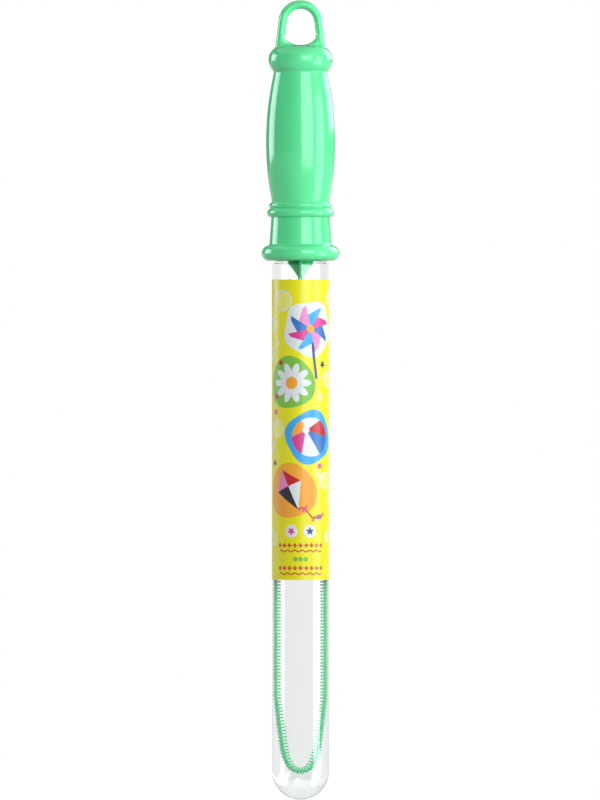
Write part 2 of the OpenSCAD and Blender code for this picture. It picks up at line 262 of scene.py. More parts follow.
def piece_from(name, points, faces, body, slot, material, crease=35):
    """Makes a piece from points in millimetres, gives it a material and lets it ride on a body."""
    mesh = bpy.data.meshes.new(name)
    mesh.from_pydata([(x * MM, y * MM, z * MM) for x, y, z in points], [], faces)
    mesh.shade_smooth()
    mesh.set_sharp_from_angle(angle=radians(crease))
    mesh.materials.append(material)
    piece = put(name, mesh)
    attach(piece, body)
    print(name, "has", len(points), "points and", len(faces), "faces")
    return piece


print("one turned band has", len(lathe([(1, 0), (1, 1)])[1]), "faces")

# %% [markdown]
# ## Studio
# The wand stands in even light before pure white, with a bright softbox to the right of the camera, a
# second one further right, a panel behind it on the right and a narrower one behind it on the left. They
# give the bright strips that the glossy handle mirrors, so each lamp is placed by the angle at which its
# strip shows.

# %% World


def soft_white(owner):
    """1 where a camera, a mirror or clear plastic looks, and 0 for light on matt surfaces."""
    path = add_node(owner, "ShaderNodeLightPath")
    mirror = add_node(owner, "ShaderNodeMath", None,
                      {0: path.outputs["Is Camera Ray"], 1: path.outputs["Is Glossy Ray"]}, operation="ADD")
    clear = add_node(owner, "ShaderNodeMath", None, {0: mirror, 1: path.outputs["Is Transmission Ray"]},
                     operation="ADD", use_clamp=True)
    direct = add_node(owner, "ShaderNodeMath", {1: 0.5}, {0: path.outputs["Diffuse Depth"]},
                      operation="LESS_THAN")
    return add_node(owner, "ShaderNodeMath", None, {0: clear, 1: direct}, operation="MULTIPLY")


world = emptied(bpy.data.worlds.new("white_studio"))
bpy.context.scene.world = world
white_seen = soft_white(world)
fill = add_node(world, "ShaderNodeBackground", {"Color": linear("#FFFFFF"), "Strength": 0.24})
backdrop = add_node(world, "ShaderNodeBackground", {"Color": linear("#FFFFFF"), "Strength": 1.0})
seen = add_node(world, "ShaderNodeMixShader", None, {0: white_seen, 1: fill, 2: backdrop})
add_node(world, "ShaderNodeOutputWorld", None, {"Surface": seen})
print("world fill", fill.inputs["Strength"].default_value)

# %% Softboxes
lamp_centre = Vector((0, 0, 0.29))


def softbox(name, azimuth, elevation, width, rise, radiance, distance=1.2):
    """A lamp that fills an angle in degrees, seen from the handle. Azimuth 0 is the camera, 90 its right."""
    a = radians(azimuth)
    e = radians(elevation)
    out = Vector((sin(a) * cos(e), -cos(a) * cos(e), sin(e)))
    lamp = bpy.data.lights.new(name, "AREA")
    lamp.shape = "RECTANGLE"
    lamp.size = 2 * distance * tan(radians(width / 2))
    lamp.size_y = 2 * distance * tan(radians(rise / 2))
    lamp.energy = radiance * pi * lamp.size * lamp.size_y
    lamp.color = linear("#EDF7FF")[:3]
    made = put(name, lamp)
    made.location = lamp_centre + out * distance
    made.rotation_euler = out.to_track_quat("Z", "Y").to_euler()
    made.visible_camera = False
    print(name, round(lamp.size, 2), "by", round(lamp.size_y, 2), "m")
    return made


softbox("key_softbox", 22.75, 13, 38.5, 42, 4.9, 1.0)
softbox("side_softbox", 70, -20, 32, 75, 3.9)
right_panel = softbox("right_back_panel", 131, 22, 42, 36, 4.5)
left_panel = softbox("left_back_panel", -115, 12.1, 31, 27.8, 6.2)
for panel in (right_panel, left_panel):
    panel.visible_transmission = False

# %% [markdown]
# A glossy white-studio picture needs something dark to mirror, or the outline melts into the background.
# The photograph shows a dark rim on both sides of the handle and a pale grey one on the tube. Dark felt
# stands round the handle and grey card round the tube and below it, out of the camera's sight, with felt
# on the ground and a pale table straight below the foot. The filled tube is a lens: it shows what stands
# behind it at up to 30 degrees to each side, swapped left to right. Its grey middle and the white band on
# each side are three grey cards with a white strip between.

# %% Felt and card
card_r = 1.5
table_r = 0.5
ground_z = -0.4
table_z = -0.39
low_card_top = -0.08
back_card_top = 0.2
felt_foot = 0.25
felt_top = 1.5


def card_wall(first, last, low, high):
    """Points and faces of an upright curved card between two azimuths and two heights."""
    steps = 24
    turns = [radians(a) for a in spread(first, last, steps)]
    points = [(card_r * sin(a), -card_r * cos(a), z) for z in (low, high) for a in turns]
    return points, [(i, i + 1, i + steps + 2, i + steps + 1) for i in range(steps)]


def staged_card(name, shade, in_mirrors, points, faces):
    """A staged card that shows only in mirrors or only through clear plastic, with a faint mottling."""
    mesh = bpy.data.meshes.new(name)
    mesh.from_pydata(points, [], faces)
    card = put(name, mesh)
    card.visible_camera = False
    card.visible_diffuse = False
    card.visible_shadow = False
    card.visible_glossy = in_mirrors
    card.visible_transmission = not in_mirrors
    material, place = new_material(name)
    fibres = add_node(material, "ShaderNodeTexNoise", {"Scale": per_mm(30), "Detail": 4.0},
                      {"Vector": place})
    glow = add_node(material, "ShaderNodeMapRange", {"To Min": shade * 0.95, "To Max": shade * 1.05},
                    {"Value": fibres})
    light = add_node(material, "ShaderNodeEmission", {"Color": linear("#FFFFFF")}, {"Strength": glow})
    add_node(material, "ShaderNodeOutputMaterial", None, {"Surface": light})
    mesh.materials.append(material)
    print(name, "has", len(faces), "faces")


for name, shade, low, high in (("dark_felt", 0.22, felt_foot, felt_top),
                               ("grey_card", 0.82, low_card_top, felt_foot),
                               ("low_card", 0.75, ground_z, low_card_top)):
    staged_card(name, shade, True, *card_wall(-3, -272, low, high))
for name, shade, reach, height in (("ground_felt", 0.7, card_r, ground_z),
                                   ("pale_table", 0.92, table_r, table_z)):
    rim = [(reach * cos(a), reach * sin(a), height) for a in around(48)]
    staged_card(name, shade, True, rim, [tuple(range(len(rim)))])
for name, shade, first, last in (("back_card_middle", 0.85, 162.3, 195.5),
                                 ("back_card_right", 0.88, 100, 155.2),
                                 ("back_card_left", 0.88, 205.3, 260),
                                 ("white_strip_right", 1.18, 155.2, 162.3),
                                 ("white_strip_left", 1.1, 195.5, 205.3)):
    staged_card(name, shade, False, *card_wall(first, last, ground_z, back_card_top))

# %% [markdown]
# The floor is matt white paint. A plain white floor would need more light on the wand to come out white,
# so most of what the camera sees of it is a white glow, and the rest is paint that takes the soft shadow.

# %% Floor
floor_r = 0.6
floor_drop = 0.0001
floor_mesh = bmesh.new()
bmesh.ops.create_circle(floor_mesh, cap_ends=True, segments=96, radius=floor_r)
floor_data = bpy.data.meshes.new("studio_floor")
floor_mesh.to_mesh(floor_data)
floor_mesh.free()
floor = put("studio_floor", floor_data)
floor.location.z = -floor_drop
floor.visible_glossy = False
floor.visible_transmission = False
floor_paint = emptied(bpy.data.materials.new("matt_white_floor_paint"))
floor_seen = soft_white(floor_paint)
paint = add_node(floor_paint, "ShaderNodeBsdfDiffuse", {"Color": linear("#A8A8A8")})
glow = add_node(floor_paint, "ShaderNodeEmission", {"Color": linear("#FFFFFF"), "Strength": 1.14})
glow_share = add_node(floor_paint, "ShaderNodeMath", {1: 0.85}, {0: floor_seen}, operation="MULTIPLY")
floor_mix = add_node(floor_paint, "ShaderNodeMixShader", None, {0: glow_share, 1: paint, 2: glow})
add_node(floor_paint, "ShaderNodeOutputMaterial", None, {"Surface": floor_mix})
floor_data.materials.append(floor_paint)
print("floor radius", floor_r, "m")

# %% [markdown]
# ## Green moulded polypropylene
# The handle and the wand are injection-moulded polypropylene, coloured in the mass. It comes out of a
# polished mould with a soft gloss: sharp enough to mirror a softbox, and a little waxy inside. Faint flow
# marks change the tone by a percent or two, and a very low ripple keeps the mirrored edges from looking
# like glass.

# %% Green polypropylene


def polypropylene(name, deep, pale, gloss, ior):
    """Moulded polypropylene: flow marks in its colour and gloss, and a faint ripple in its skin."""
    material, place = new_material(name)
    flow = add_node(material, "ShaderNodeTexNoise", {"Scale": per_mm(14), "Detail": 3.0, "Distortion": 0.6},
                    {"Vector": place})
    tone = add_node(material, "ShaderNodeMix", {"A": linear(deep), "B": linear(pale)},
                    {"Factor": flow}, data_type="RGBA")
    polish = add_node(material, "ShaderNodeMapRange",
                      {"From Min": 0.3, "From Max": 0.7, "To Min": gloss - 0.02, "To Max": gloss + 0.03},
                      {"Value": flow})
    skin = add_node(material, "ShaderNodeTexNoise", {"Scale": per_mm(2.5), "Detail": 2.0},
                    {"Vector": place})
    ripple = add_node(material, "ShaderNodeBump", {"Strength": 0.05, "Distance": 0.05 * MM},
                      {"Height": skin})
    shader = add_node(material, "ShaderNodeBsdfPrincipled",
                      {"IOR": ior, "Subsurface Weight": 0.25, "Subsurface Radius": (0.4, 1.0, 0.6),
                       "Subsurface Scale": 2 * MM},
                      {"Base Color": tone, "Roughness": polish, "Normal": ripple})
    add_node(material, "ShaderNodeOutputMaterial", None, {"Surface": shader})
    return material


# Handle: glossy, so that the softboxes show as crisp strips, over a fresh mint green
handle_green = polypropylene("moulded_polypropylene_handle", "#5EE295", "#65E89B", 0.10, 1.49)
# Wand: a deeper green than the handle's, which is painted shade for the dimmer light that reaches it inside
# the filled tube, and without glints, because its index is taken against the liquid that it hangs in
wand_shaded_green = polypropylene("moulded_polypropylene_wand", "#36B672", "#3EBE79", 0.18, 1.12)
print(handle_green.name, wand_shaded_green.name)

# %% [markdown]
# ## Screw cap
# The cap is one moulding: a round-edged flange that the fingers turn, a skirt over the tube's threaded
# neck, a collar under the grip, a web that carries the wand and a spigot that plugs into the grip. It is
# turned in one go, and the thread inside is a swelling of the bore, so the wall stays one closed skin.

# %% Thread
thread_pitch = 4.0
thread_base_w = 2.153
thread_crest_w = 1.147
thread_rise = 3.3
thread_z = shoulder_z + thread_rise
neck_turns = 1.5
cap_turns = 1
# The ridge fades in and out over a seventh of a turn
thread_fade = 7
# A point this near to a wall's radius lies on that wall
on_wall = 0.01


def thread_height(z, angle, start_z, turns):
    """Height of the thread's ridge at one place on the wall, from 0 to 1, fading in and out at its ends."""
    best = 0
    for lap in range(ceil(turns) + 1):
        t = angle / (2 * pi) + lap
        if t > turns:
            continue
        off = abs(z - start_z - thread_pitch * t)
        slope = (thread_base_w / 2 - off) / ((thread_base_w - thread_crest_w) / 2)
        best = max(best, min(1, max(0, slope)) * min(1, thread_fade * t, thread_fade * (turns - t)))
    return best


print("ridge at its crest:", thread_height(thread_z + thread_pitch / 2, pi, thread_z, neck_turns))

# %% Cap sizes
seat_gap = 0.02
cap_web_t = 2
web_z = washer_high.z + seat_gap
web_top_z = web_z + cap_web_t
web_hole_r = 4.05
spigot_top_z = cap_high.z
spigot_r = 11.43
spigot_wall = 1.6
spigot_chamfer = 0.4
spigot_core_r = spigot_r - spigot_wall
mouth_chamfer = 0.15
lip_r = 14.05
lip_h = 0.25
lip_w = 0.45
lip_slope = 0.2
fillet_h = 0.9
flange_z = cap_z + flange_bead_r - edge_flat
flange_top_z = flange_z + flange_bead_r
fillet_z = flange_top_z + fillet_h
flange_foot = degrees(asin((cap_z - flange_z) / flange_bead_r))
flange_shoulder = 74
collar_z = seam_z - collar_bead_r + edge_flat
collar_foot_z = collar_z - collar_bead_r
collar_head = degrees(asin((seam_z - collar_z) / collar_bead_r))
print("flange top at", round(flange_top_z, 2), "web from", round(web_z, 2), "to", round(web_top_z, 2))

# %% Cap


def skirt(z):
    """Radius of the skirt, which narrows from the flange up to the collar."""
    return skirt_foot_r + (skirt_top_r - skirt_foot_r) * (z - flange_z) / (collar_z - flange_z)


def curve(start, corner, end, steps):
    """Points on a soft bend from one point to another round a corner, without its first point."""
    return [tuple((1 - t) ** 2 * a + 2 * t * (1 - t) * b + t ** 2 * c for a, b, c in zip(start, corner, end))
            for t in spread(0, 1, steps)[1:]]


collar_foot = -degrees(acos((skirt(collar_foot_z) - collar_r) / collar_bead_r + 1))
flange_edge = arc(flange_r - flange_bead_r, flange_z, flange_bead_r, flange_foot, flange_shoulder, 36)
fillet_end = (skirt(fillet_z), fillet_z)
cap_outline = [
    (cap_bore_r + mouth_chamfer, cap_z),
    *flange_edge,
    *curve(flange_edge[-1], (skirt(flange_top_z), flange_top_z), fillet_end, 10),
    *line(fillet_end, (skirt(collar_foot_z), collar_foot_z), 12)[:-1],
    *arc(collar_r - collar_bead_r, collar_z, collar_bead_r, collar_foot, collar_head, 28),
    (lip_r, seam_z + lip_h), (lip_r - lip_w, seam_z + lip_h), (lip_r - lip_w - lip_slope, seam_z),
    (spigot_r, seam_z), (spigot_r, spigot_top_z - spigot_chamfer),
    (spigot_r - spigot_chamfer, spigot_top_z), (spigot_core_r, spigot_top_z),
    (spigot_core_r, web_top_z), (web_hole_r, web_top_z), (web_hole_r, web_z), (cap_bore_r, web_z),
    *line((cap_bore_r, web_z), (cap_bore_r, cap_z + mouth_chamfer), 66),
]


def cap_thread(r, z, angle):
    """How far the cap's wall swells inwards along its thread."""
    if abs(r - cap_bore_r) > on_wall:
        return 0
    return -thread_depth * thread_height(z, angle, thread_z + thread_pitch / 2, cap_turns)


screw_cap = piece_from("screw_cap_moulding", *lathe(cap_outline, closed=True, swell=cap_thread),
                       "handle", "handle_plastic", handle_green)
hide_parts("screw_cap")

# %% [markdown]
# ## Grip
# The grip is a hollow belly that tapers to both ends, with a small ring at its foot. Its long side is one
# arc of a large circle, so the outline follows that arc and the mirrored strips run down it without a
# kink. Its top edge flares softly up to the bead, so that the joint shows no dark line.

# %% Grip sizes
grip_r = grip_high.x
belly_rise = 30.9
belly_z = seam_z + belly_rise
curve_r = 143.5
grip_wall = 1.8
ring_bead_r = 1.45
ring_r = 14.55
ring_head = 87
socket_gap = 0.05
socket_r = spigot_r + socket_gap
socket_depth = 12
eye_socket_r = 8.5
eye_socket_depth = 10.5
bead_r = 5.9
bead_foot_r = 7.7
bead_reach = eye_high.x
bead_z = grip_top_z + bead_r - edge_flat
flare_h = 0.8
flare_w = 1


def belly(z, wall=0.0):
    """Radius of the grip's long curve at a height, set in by a wall."""
    return grip_r - curve_r + sqrt((curve_r - wall) ** 2 - (z - belly_z) ** 2)


print("grip radius", round(grip_r, 2), "and at its top", round(belly(grip_top_z), 2))

# %% Grip
ring_z = seam_z + ring_bead_r - edge_flat
ring_foot = degrees(asin((seam_z - ring_z) / ring_bead_r))
ring_edge = arc(ring_r - ring_bead_r, ring_z, ring_bead_r, ring_foot, ring_head, 24)
curve_foot_z = ring_edge[-1][1] + seat_gap
flare_z = grip_top_z - flare_h
bead_side = sqrt(bead_foot_r ** 2 - (bead_z - grip_top_z - flare_h) ** 2) + bead_reach - bead_foot_r
flare_tip = (bead_side + seat_gap, grip_top_z + flare_h)
inner_foot_z = seam_z + socket_depth
inner_top_z = grip_top_z - eye_socket_depth
grip_outline = [
    (socket_r, seam_z),
    *ring_edge,
    *[(belly(z), z) for z in spread(curve_foot_z, flare_z, 72)],
    *curve((belly(flare_z), flare_z), (belly(grip_top_z), grip_top_z), flare_tip, 12),
    (belly(grip_top_z) - flare_w, grip_top_z), (eye_socket_r, grip_top_z), (eye_socket_r, inner_top_z),
    *[(belly(z, grip_wall), z) for z in spread(inner_top_z, inner_foot_z, 24)],
    (socket_r, inner_foot_z),
]
grip = piece_from("grip_moulding", *lathe(grip_outline, closed=True),
                  "handle", "handle_plastic", handle_green)
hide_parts("grip")

# %% [markdown]
# ## Hanging eye
# The bead and the eye are one moulding, and the eye's legs run into the bead through soft fillets.
# Cutting fillets between a bent bar and a bead by hand is slow. A voxel remesh melts the overlapping
# shapes into one skin, and a light smoothing rounds the inner corners the way a mould does. The bar is
# an oval, deeper than it is wide, as the broad strips that it mirrors at its sides suggest.

# %% Eye shapes
bead_core_r = bead_reach - bead_r
bead_top_z = bead_z + bead_r
crown = 0.7
eye_bar_r = 2.05
eye_leg_r = 1.95
eye_depth = 1.5
bend_r = 8.3
bend_z = eye_top_z - eye_bar_r - bend_r
splay = radians(7)
scoop_r = 9.6
scoop_z = bead_top_z + crown + scoop_r
oval = [(cos(a), eye_depth * sin(a)) for a in around(40)]


def sweep(path, section, closed=False):
    """Sweeps a section of (out, y) points along stations of (x, z, size, tilt). The tilt points outwards."""
    points = []
    for x, z, size, tilt in path:
        points += [(x + size * n * cos(tilt), size * y, z + size * n * sin(tilt)) for n, y in section]
    faces = []
    sides = len(section)
    for i in range(len(path) if closed else len(path) - 1):
        here = i * sides
        there = (i + 1) % len(path) * sides
        for k in range(sides):
            n = (k + 1) % sides
            faces.append((here + k, there + k, there + n, here + n))
    if not closed:
        faces.append(tuple(range(sides)))
        faces.append(tuple(range(len(points) - 1, len(points) - 1 - sides, -1)))
    return points, faces


def other_side(path):
    """The same stations on the other side of the axis."""
    return [(-x, z, size, pi - tilt) for x, z, size, tilt in path]


bar_path = []
leg_steps = 16
leg_len = (bend_z + bend_r * sin(splay) - bead_z) / cos(splay)
for s in spread(leg_len, 0, leg_steps):
    x = bend_r * cos(splay) + s * sin(splay)
    z = bend_z + bend_r * sin(splay) - s * cos(splay)
    bar_path.append((x, z, eye_leg_r, splay))
for a in spread(splay, pi - splay, 60)[1:-1]:
    bar_path.append((bend_r * cos(a), bend_z + bend_r * sin(a), eye_bar_r, a))
bar_path += other_side(bar_path[leg_steps::-1])
print("eye bar follows", len(bar_path), "stations")

# %% Lower end of the eye's hole
eye_corner_r = 5.0
cradle_r = scoop_r + eye_leg_r
leg_x = bend_r * cos(splay) - eye_corner_r * cos(splay)
leg_z = bend_z + bend_r * sin(splay) - eye_corner_r * sin(splay) - scoop_z
half_b = leg_x * sin(splay) - leg_z * cos(splay)
reach = -half_b + sqrt(half_b ** 2 - leg_x ** 2 - leg_z ** 2 + (cradle_r - eye_corner_r) ** 2)
corner_x = leg_x + reach * sin(splay)
corner_z = leg_z - reach * cos(splay) + scoop_z
corner_turn = atan2(corner_z - scoop_z, corner_x)
cradle_path = []
for a in spread(-pi / 2, corner_turn, 24):
    cradle_path.append((cradle_r * cos(a), scoop_z + cradle_r * sin(a), eye_leg_r, a))
for a in spread(corner_turn, splay, 12)[1:]:
    cradle_path.append((corner_x + eye_corner_r * cos(a), corner_z + eye_corner_r * sin(a), eye_leg_r, a))
cradle_path = other_side(cradle_path[:0:-1]) + cradle_path
print("cradle follows", len(cradle_path), "stations, corner at", round(corner_x, 2), round(corner_z, 2))

# %% Bead
plug_r = 8.45
plug_wall = 1.6
plug_bore_r = plug_r - plug_wall
plug_len = 10
plug_z = grip_top_z - plug_len
plug_tip_w = 0.3
plug_tip_h = 0.4
crown_r = (bead_core_r ** 2 + crown ** 2) / (2 * crown)
crown_reach = degrees(asin(bead_core_r / crown_r))
bead_foot = degrees(asin((grip_top_z - bead_z) / bead_foot_r))
bead_outline = [
    (0, bead_z), (plug_bore_r, bead_z), (plug_bore_r, plug_z), (plug_r - plug_tip_w, plug_z),
    (plug_r, plug_z + plug_tip_h), (plug_r, grip_top_z),
    *arc(bead_reach - bead_foot_r, bead_z, bead_foot_r, bead_foot, 0, 24)[:-1],
    *arc(bead_core_r, bead_z, bead_r, 0, 90, 28),
    *arc(0, bead_top_z + crown - crown_r, crown_r, 90 - crown_reach, 90, 24)[1:-1],
    (0, bead_top_z + crown),
]
print("bead outline has", len(bead_outline), "points")

# %% Eye moulding
eye_web_t = 5.6
voxel = 0.25


def prism(outline, thickness):
    """Points and faces of a flat block with an outline in x and z."""
    count = len(outline)
    points = [(x, y, z) for y in (-thickness / 2, thickness / 2) for x, z in outline]
    faces = [tuple(range(count))[::-1], tuple(range(count, 2 * count))]
    faces += [(i, (i + 1) % count, count + (i + 1) % count, count + i) for i in range(count)]
    return points, faces


def join(shapes):
    """Points and faces of several shapes as one."""
    points = []
    faces = []
    for more_points, more_faces in shapes:
        base = len(points)
        points += more_points
        faces += [tuple(base + k for k in face) for face in more_faces]
    return points, faces


eye_web = [station[:2] for station in cradle_path]
eye_web += [(cradle_path[-1][0], bead_z), (cradle_path[0][0], bead_z)]
eye_shapes = [lathe(bead_outline), sweep(bar_path, oval), sweep(cradle_path, oval), prism(eye_web, eye_web_t)]
hanging_eye = piece_from("hanging_eye_moulding", *join(eye_shapes),
                         "handle", "handle_plastic", handle_green, 180)
melt = hanging_eye.modifiers.new("melt", "REMESH")
melt.mode = "VOXEL"
melt.voxel_size = voxel * MM
melt.use_smooth_shade = True
soften = hanging_eye.modifiers.new("soften", "SMOOTH")
soften.factor = 0.5
soften.iterations = 40
melted = bpy.data.meshes.new_from_object(hanging_eye.evaluated_get(bpy.context.evaluated_depsgraph_get()))
hanging_eye.modifiers.clear()
hanging_eye.data = melted
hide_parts("hanging_eye")
print("melted eye has", len(melted.polygons), "faces")

# %% [markdown]
# ## Wand
# The wand is a thin moulding: a disc that snaps into the cap, four vanes that narrow to a stem, and a
# loop with ribs all along it that hold the soap film. The loop's bar is a rounded strip swept round the
# loop, and each rib is one bevelled block, copied along the path at the pitch of the real comb.

# %% Loop path
wand_low, wand_high = box_mm("wand")
bar_w = 1.3
bar_t = 1.6
rib_pitch = 1.5
rib_w = 0.7
rib_t = 2.4
rib_in = 1.35
rib_out = 0.3
loop_foot_r = 4.4
heel_angle = radians(26)
heel_r = 25
taper = radians(6.5)
neck_clearance = 1.0
loop_half_w = neck_bore_r - neck_clearance - rib_out - bar_w / 2
loop_foot_z = wand_low.z + rib_out + bar_w / 2 + loop_foot_r
loop_top_z = 215.52
arch_z = loop_top_z - loop_half_w
heel_x = (loop_foot_r - heel_r) * cos(heel_angle)
heel_z = loop_foot_z + (heel_r - loop_foot_r) * sin(heel_angle)
slant_x = heel_x + heel_r * cos(taper)
slant_foot_z = heel_z - heel_r * sin(taper)
slant_len = (loop_half_w - slant_x) / sin(taper)
slant_top_z = slant_foot_z + slant_len * cos(taper)
foot_len = loop_foot_r * (pi / 2 - heel_angle)
heel_len = heel_r * (heel_angle - taper)
side_len = arch_z - slant_top_z
arch_len = loop_half_w * pi / 2


def loop_point(s):
    """Middle of the bar at a distance from the loop's foot, and the angle of its outward side."""
    if s < foot_len:
        a = s / loop_foot_r - pi / 2
        return loop_foot_r * cos(a), loop_foot_z + loop_foot_r * sin(a), a
    s -= foot_len
    if s < heel_len:
        a = s / heel_r - heel_angle
        return heel_x + heel_r * cos(a), heel_z + heel_r * sin(a), a
    s -= heel_len
    if s < slant_len:
        return slant_x + s * sin(taper), slant_foot_z + s * cos(taper), -taper
    s -= slant_len
    if s < side_len:
        return loop_half_w, slant_top_z + s, 0.0
    a = (s - side_len) / loop_half_w
    return loop_half_w * cos(a), arch_z + loop_half_w * sin(a), a


path_len = foot_len + heel_len + slant_len + side_len + arch_len
print("half loop is", round(path_len, 1), "mm long, foot at", round(loop_foot_z, 2))

# %% Loop bar
stops = [0]
for length, steps in ((foot_len, 10), (heel_len, 8), (slant_len, 8), (side_len, 12), (arch_len, 16)):
    stops += spread(stops[-1], stops[-1] + length, steps)[1:]
right_half = [(x, z, 1, tilt) for x, z, tilt in map(loop_point, stops)]
bar_corner_r = 0.4
bar_section = []
for quarter, (sx, sy) in enumerate(((1, 1), (-1, 1), (-1, -1), (1, -1))):
    for step in range(5):
        a = pi / 2 * (quarter + step / 4)
        bar_section.append((sx * (bar_w / 2 - bar_corner_r) + bar_corner_r * cos(a),
                            sy * (bar_t / 2 - bar_corner_r) + bar_corner_r * sin(a)))
loop_bar = sweep(right_half + other_side(right_half[-2:0:-1]), bar_section, closed=True)
print("bar has", len(loop_bar[1]), "faces")

# %% Ribs
rib_bevel = 0.16
stem_clearance = 2.6


def bmesh_of(points, faces):
    """An editable mesh with these points and faces."""
    shape = bmesh.new()
    corners = [shape.verts.new(p) for p in points]
    for face in faces:
        shape.faces.new([corners[k] for k in face])
    return shape


def taken_from(shape):
    """Points and faces of an editable mesh, which is then freed."""
    shape.verts.index_update()
    made = [tuple(v.co) for v in shape.verts], [tuple(v.index for v in f.verts) for f in shape.faces]
    shape.free()
    return made


def bevelled_block(outline, thickness, bevel):
    """A flat block from an outline in x and z, with rounded edges, as points and faces."""
    block = bmesh_of(*prism(outline, thickness))
    bmesh.ops.recalc_face_normals(block, faces=block.faces)
    bmesh.ops.bevel(block, geom=block.edges[:], offset=bevel, segments=2, profile=0.5, affect="EDGES")
    return taken_from(block)


rib_outline = [(-bar_w / 2 - rib_in, -rib_w / 2), (bar_w / 2 + rib_out, -rib_w / 2),
               (bar_w / 2 + rib_out, rib_w / 2), (-bar_w / 2 - rib_in, rib_w / 2)]
rib_points, rib_faces = bevelled_block(rib_outline, rib_t, rib_bevel)


def set_rib(s, side):
    """One rib at a distance along the loop, on its right (1) or its left (-1)."""
    x, z, tilt = loop_point(s)
    points = [(side * (x + n * cos(tilt) - t * sin(tilt)), y, z + n * sin(tilt) + t * cos(tilt))
              for n, y, t in rib_points]
    return points, [face[::side] for face in rib_faces]


rib_count = int((path_len - stem_clearance) / rib_pitch + 0.5)
ribs = [set_rib(rib_pitch * (i + 0.5), side) for i in range(rib_count) for side in (1, -1)]
print("ribs:", len(ribs))

# %% Stem and vanes
disc_t = 1.1
disc_r = 6.75
disc_edge = 0.1
disc_top_z = web_z - seat_gap
disc_z = disc_top_z - disc_t
vane_half_w = 6.25
vane_t = 1.6
vane_bevel = 0.2
vane_root = 0.3
vane_h = 13.2
vane_point_h = 7.0
slant_z = disc_z - vane_h
vane_foot_z = slant_z - vane_point_h
stem_r = 1.3
stem_foot_r = 1.9
stem_foot_h = 0.4
stem_neck_h = 1.6
stem_root = 0.5
vane_right = [(stem_r, vane_foot_z), (vane_half_w, slant_z), (vane_half_w, disc_z + vane_root)]
vane_outline = [(-x, z) for x, z in vane_right[::-1]] + vane_right
vane_points, vane_faces = bevelled_block(vane_outline, vane_t, vane_bevel)
turned_vane = [(-y, x, z) for x, y, z in vane_points]
stem_outline = [
    (0, loop_top_z - stem_root), (stem_foot_r, loop_top_z - stem_root),
    (stem_foot_r, loop_top_z + stem_foot_h), (stem_r, loop_top_z + stem_neck_h),
    *line((stem_r, loop_top_z + stem_neck_h), (stem_r, slant_z), 6), (0, slant_z),
]
disc_outline = [
    (0, disc_z), (disc_r - disc_edge, disc_z), (disc_r, disc_z + disc_edge),
    (disc_r, disc_top_z - disc_edge), (disc_r - disc_edge, disc_top_z), (0, disc_top_z),
]
print("vanes from", round(vane_foot_z, 2), "to", round(disc_z, 2))

# %% Snap head
head_z = web_top_z + seat_gap
head_top_z = wand_high.z
head_r = 4.65
head_edge = 0.3
head_tip_r = 3.35
head_slot = 1.2
boss_r = 4
boss_root = 0.2
boss_z = disc_top_z - boss_root
head_outline = [
    (0, boss_z), (boss_r, boss_z), (boss_r, head_z), (head_r, head_z),
    (head_r, head_z + head_edge), (head_tip_r, head_top_z), (0, head_top_z),
]


def half_head(side):
    """One springy half of the snap head: the turned head, cut along its slot and closed."""
    half = bmesh_of(*lathe(head_outline, 96))
    everything = half.verts[:] + half.edges[:] + half.faces[:]
    cut = bmesh.ops.bisect_plane(half, geom=everything, plane_co=(side * head_slot / 2, 0, 0),
                                 plane_no=(side, 0, 0), clear_inner=True)
    bmesh.ops.holes_fill(half, edges=[e for e in cut["geom_cut"] if isinstance(e, bmesh.types.BMEdge)])
    bmesh.ops.recalc_face_normals(half, faces=half.faces)
    return taken_from(half)


wand_shapes = [loop_bar, *ribs, (vane_points, vane_faces), (turned_vane, vane_faces)]
wand_shapes += [lathe(stem_outline, 48), lathe(disc_outline, 96), half_head(1), half_head(-1)]
wand = piece_from("wand_moulding", *join(wand_shapes), "wand", "wand_plastic", wand_shaded_green, 40)
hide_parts("wand")

# %% [markdown]
# ## Clear tube
# The tube is blow-moulded PET: a hot parison blown against a cold mould gives a glossy, slightly uneven
# wall. It is one closed skin, outside and inside, so that light bends through a real wall. Lamps have to
# reach the wand inside, so shadow rays pass straight through.

# %% Clear materials


def clear_plastic(name, tint, ior, gloss, wave_mm, wave):
    """A clear material with a faint waviness. Shadow rays pass to the inside."""
    material, place = new_material(name)
    uneven = add_node(material, "ShaderNodeTexNoise", {"Scale": per_mm(wave_mm), "Detail": 1.0},
                      {"Vector": place})
    ripple = add_node(material, "ShaderNodeBump", {"Strength": 0.1, "Distance": wave * MM},
                      {"Height": uneven})
    shader = add_node(material, "ShaderNodeBsdfPrincipled",
                      {"Base Color": linear(tint), "Roughness": gloss, "IOR": ior,
                       "Transmission Weight": 1.0},
                      {"Normal": ripple})
    through = add_node(material, "ShaderNodeBsdfTransparent", {"Color": linear(tint)})
    path = add_node(material, "ShaderNodeLightPath")
    both = add_node(material, "ShaderNodeMixShader", None,
                    {0: path.outputs["Is Shadow Ray"], 1: shader, 2: through})
    add_node(material, "ShaderNodeOutputMaterial", None, {"Surface": both})
    return material


# Filled tube: a clear wall against the liquid, glossy, hardly tinted, a little wavy
clear_pet = clear_plastic("blow_moulded_clear_pet", "#FDFEFE", 1.57, 0.02, 9.0, 0.04)
# Liquid: clear and smooth, bends light like water and makes the tube a lens
solution = clear_plastic("soapy_bubble_solution", "#FCFCFC", 1.34, 0.0, 25.0, 0.01)
print(clear_pet.name, solution.name)

# %% [markdown]
# Above the liquid the tube holds air, and its thin wall hardly bends the view: the eye finds it by a
# sheen where it faces the softbox and by a grey band along each edge, where the view runs through more
# plastic. Two clear skins with their full index would show both, but they also bend the white background
# into dark lines that the photograph doesn't have. So the wall bends almost nothing here, a clear coat
# carries the sheen, and the angle of view (Layer Weight) brings in the bands.

